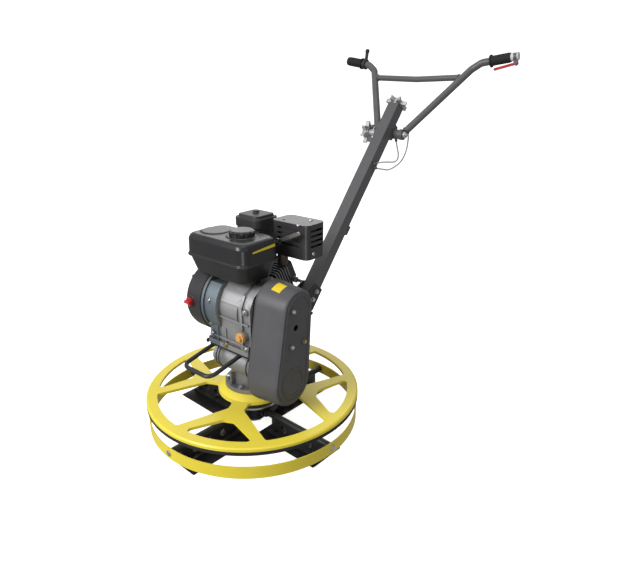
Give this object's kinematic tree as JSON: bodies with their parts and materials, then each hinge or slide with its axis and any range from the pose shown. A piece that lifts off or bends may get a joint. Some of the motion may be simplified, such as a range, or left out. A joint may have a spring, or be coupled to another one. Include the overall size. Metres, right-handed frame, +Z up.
{
  "type": "walk-behind power trowel",
  "caption": "Walk-behind power trowel: pitched finishing blades in a spoked guard ring, worm gearbox, belt-driven petrol engine and a tilting handlebar.",
  "frame": {"origin": "rotor axis at the floor, in the plane of the blade undersides", "axes": "+Z up along the rotor axis, +X along the crankshaft towards the belt guard, +Y towards the operator"},
  "size_m": [0.6686, 1.2152, 1.0826],
  "materials": {
    "yellow_paint": "satin powder coat",
    "black_paint": "satin powder coat",
    "blade_steel": "dark oiled spring steel",
    "steel": "bright machined steel",
    "cast_alloy": "sand-cast aluminium",
    "black_plastic": "moulded, fine grain",
    "tank_black": "gloss black",
    "rubber": "matte rubber",
    "bronze": "machined bronze",
    "dark_steel": "heat-darkened steel",
    "red_plastic": "gloss red",
    "amber_plastic": "moulded amber",
    "cable_grey": "light grey sleeve"
  },
  "bodies": {
    "frame": {"guard_ring": "yellow_paint", "bumper_strip": "rubber", "yoke_ears": "black_paint", "gearbox_housing": "cast_alloy", "gearbox_cover": "cast_alloy", "gearbox_bearings": "steel", "v_belt": "rubber", "belt_guard_back": "black_paint", "belt_guard_cover": "black_paint", "base_plate": "black_paint", "front_loop": "black_paint", "crankcase": "cast_alloy", "cylinder": "cast_alloy", "valve_cover": "black_paint", "fan_shroud": "black_plastic", "recoil_cover": "black_plastic", "fuel_tank": "tank_black", "air_cleaner": "black_plastic", "carburettor": "cast_alloy", "muffler": "dark_steel", "muffler_shield": "black_paint", "handle_bracket": "black_paint", "handle_tube": "black_paint", "tilt_sleeve": "black_paint", "throttle_cable": "cable_grey", "stop_cable": "cable_grey"},
    "rotor": {"output_shaft": "steel", "worm_wheel": "bronze", "spider": "black_paint", "stabiliser_hoop": "yellow_paint", "hoop_bolts": "steel"},
    "blade_set_1": {"blade_arm_1": "black_paint", "blade_1": "blade_steel"},
    "blade_set_2": {"blade_arm_2": "black_paint", "blade_2": "blade_steel"},
    "blade_set_3": {"blade_arm_3": "black_paint", "blade_3": "blade_steel"},
    "blade_set_4": {"blade_arm_4": "black_paint", "blade_4": "blade_steel"},
    "thrust_plate_body": {"thrust_plate": "steel"},
    "thrust_collar_body": {"thrust_collar": "steel"},
    "yoke_body": {"pitch_yoke": "black_paint"},
    "link_body": {"pitch_link": "steel"},
    "slider_body": {"pitch_slider": "steel"},
    "pitch_knob_body": {"pitch_knob": "cast_alloy"},
    "worm_body": {"worm_shaft": "steel", "driven_pulley": "steel"},
    "crank_body": {"crankshaft": "steel", "clutch_pulley": "steel", "flywheel": "cast_alloy"},
    "handlebar_body": {"handlebar": "black_paint", "cross_bar": "black_paint", "grips": "rubber"},
    "clamp_body": {"clamp_knob": "cast_alloy"},
    "throttle_body": {"throttle_lever": "black_plastic"},
    "stop_body": {"stop_lever": "red_plastic"},
    "control_body": {"control_lever": "steel"},
    "cap_body": {"fuel_cap": "black_plastic"},
    "plug_body": {"oil_plug": "amber_plastic"},
    "switch_body": {"engine_switch": "red_plastic"}
  },
  "joints": [
    {"name": "rotor_spin", "type": "hinge", "parent": "frame", "child": "rotor", "pos_m": [0, 0, 0], "axis": [0, 0, 1], "continuous": true},
    {"name": "worm_spin", "type": "hinge", "parent": "frame", "child": "worm_body", "pos_m": [0, -0.046, 0.228], "axis": [1, 0, 0], "continuous": true},
    {"name": "crank_spin", "type": "hinge", "parent": "frame", "child": "crank_body", "pos_m": [0, -0.024, 0.398], "axis": [1, 0, 0], "continuous": true},
    {"name": "pitch_turn", "type": "hinge", "parent": "frame", "child": "pitch_knob_body", "pos_m": [0, 0.72403, 0.88944], "axis": [0, 0.6481, 0.7615], "range_deg": [0, 720]},
    {"name": "blade_1_pitch", "type": "hinge", "parent": "rotor", "child": "blade_set_1", "pos_m": [0, 0, 0.052], "axis": [-0.9994, 0.0349, 0], "range_deg": [0, 20]},
    {"name": "blade_2_pitch", "type": "hinge", "parent": "rotor", "child": "blade_set_2", "pos_m": [0, 0, 0.052], "axis": [-0.0349, -0.9994, 0], "range_deg": [0, 20]},
    {"name": "blade_3_pitch", "type": "hinge", "parent": "rotor", "child": "blade_set_3", "pos_m": [0, 0, 0.052], "axis": [0.9994, -0.0349, 0], "range_deg": [0, 20]},
    {"name": "blade_4_pitch", "type": "hinge", "parent": "rotor", "child": "blade_set_4", "pos_m": [0, 0, 0.052], "axis": [0.0349, 0.9994, 0], "range_deg": [0, 20]},
    {"name": "thrust_slide", "type": "slide", "parent": "rotor", "child": "thrust_plate_body", "axis": [0, 0, -1], "range_m": [0, 0.01239]},
    {"name": "collar_slide", "type": "slide", "parent": "frame", "child": "thrust_collar_body", "axis": [0, 0, -1], "range_m": [0, 0.01239]},
    {"name": "yoke_tilt", "type": "hinge", "parent": "frame", "child": "yoke_body", "pos_m": [0, 0.082, 0.1074], "axis": [1, 0, 0], "range_deg": [0, 8.69]},
    {"name": "link_swing", "type": "hinge", "parent": "yoke_body", "child": "link_body", "pos_m": [0, 0.142, 0.1074], "axis": [1, 0, 0], "range_deg": [-10.61, 0]},
    {"name": "pitch_slide", "type": "slide", "parent": "frame", "child": "slider_body", "axis": [0, 0.6481, 0.7615], "range_m": [0, 0.00849]},
    {"name": "handlebar_tilt", "type": "hinge", "parent": "frame", "child": "handlebar_body", "pos_m": [0, 0.69506, 0.79985], "axis": [1, 0, 0], "range_deg": [-30, 40]},
    {"name": "clamp_turn", "type": "hinge", "parent": "frame", "child": "clamp_body", "pos_m": [0, 0.69506, 0.79985], "axis": [-1, 0, 0], "range_deg": [0, 540]},
    {"name": "throttle_turn", "type": "hinge", "parent": "handlebar_body", "child": "throttle_body", "pos_m": [-0.24076, 0.884, 1.02866], "axis": [-0.9864, 0.0519, 0.1558], "range_deg": [0, 40]},
    {"name": "control_swing", "type": "hinge", "parent": "frame", "child": "control_body", "pos_m": [0.078, 0.036, 0.574], "axis": [0, -1, 0], "range_deg": [0, 30]},
    {"name": "stop_squeeze", "type": "hinge", "parent": "handlebar_body", "child": "stop_body", "pos_m": [0.33714, 0.8812, 1.02464], "axis": [0.0111, 0.9255, -0.3786], "range_deg": [0, 6], "stiffness_Nm_per_rad": 3},
    {"name": "cap_turn", "type": "hinge", "parent": "frame", "child": "cap_body", "pos_m": [0.024, -0.042, 0.6], "axis": [0, 0, 1], "range_deg": [0, 90]},
    {"name": "plug_turn", "type": "hinge", "parent": "frame", "child": "plug_body", "pos_m": [0.078, -0.11, 0.346], "axis": [0, -1, 0], "range_deg": [0, 360]},
    {"name": "switch_turn", "type": "hinge", "parent": "frame", "child": "switch_body", "pos_m": [-0.104, -0.126, 0.406], "axis": [0, -1, 0], "range_deg": [0, 60]}
  ],
  "couplings": [
    {"joint": "worm_spin", "follows": "rotor_spin", "ratio": -20},
    {"joint": "crank_spin", "follows": "rotor_spin", "ratio": -30},
    {"joint": "pitch_turn", "follows": "pitch_slide", "rad_per_m": 1480.9},
    {"joint": "blade_1_pitch", "follows": "pitch_slide", "rad_per_m": 41.137},
    {"joint": "blade_2_pitch", "follows": "pitch_slide", "rad_per_m": 41.137},
    {"joint": "blade_3_pitch", "follows": "pitch_slide", "rad_per_m": 41.137},
    {"joint": "blade_4_pitch", "follows": "pitch_slide", "rad_per_m": 41.137},
    {"joint": "thrust_slide", "follows": "pitch_slide", "ratio": 1.4604},
    {"joint": "collar_slide", "follows": "pitch_slide", "ratio": 1.4604},
    {"joint": "yoke_tilt", "follows": "pitch_slide", "rad_per_m": 17.878},
    {"joint": "link_swing", "follows": "pitch_slide", "rad_per_m": -21.832},
    {"joint": "control_swing", "follows": "throttle_turn", "ratio": 0.75}
  ]
}
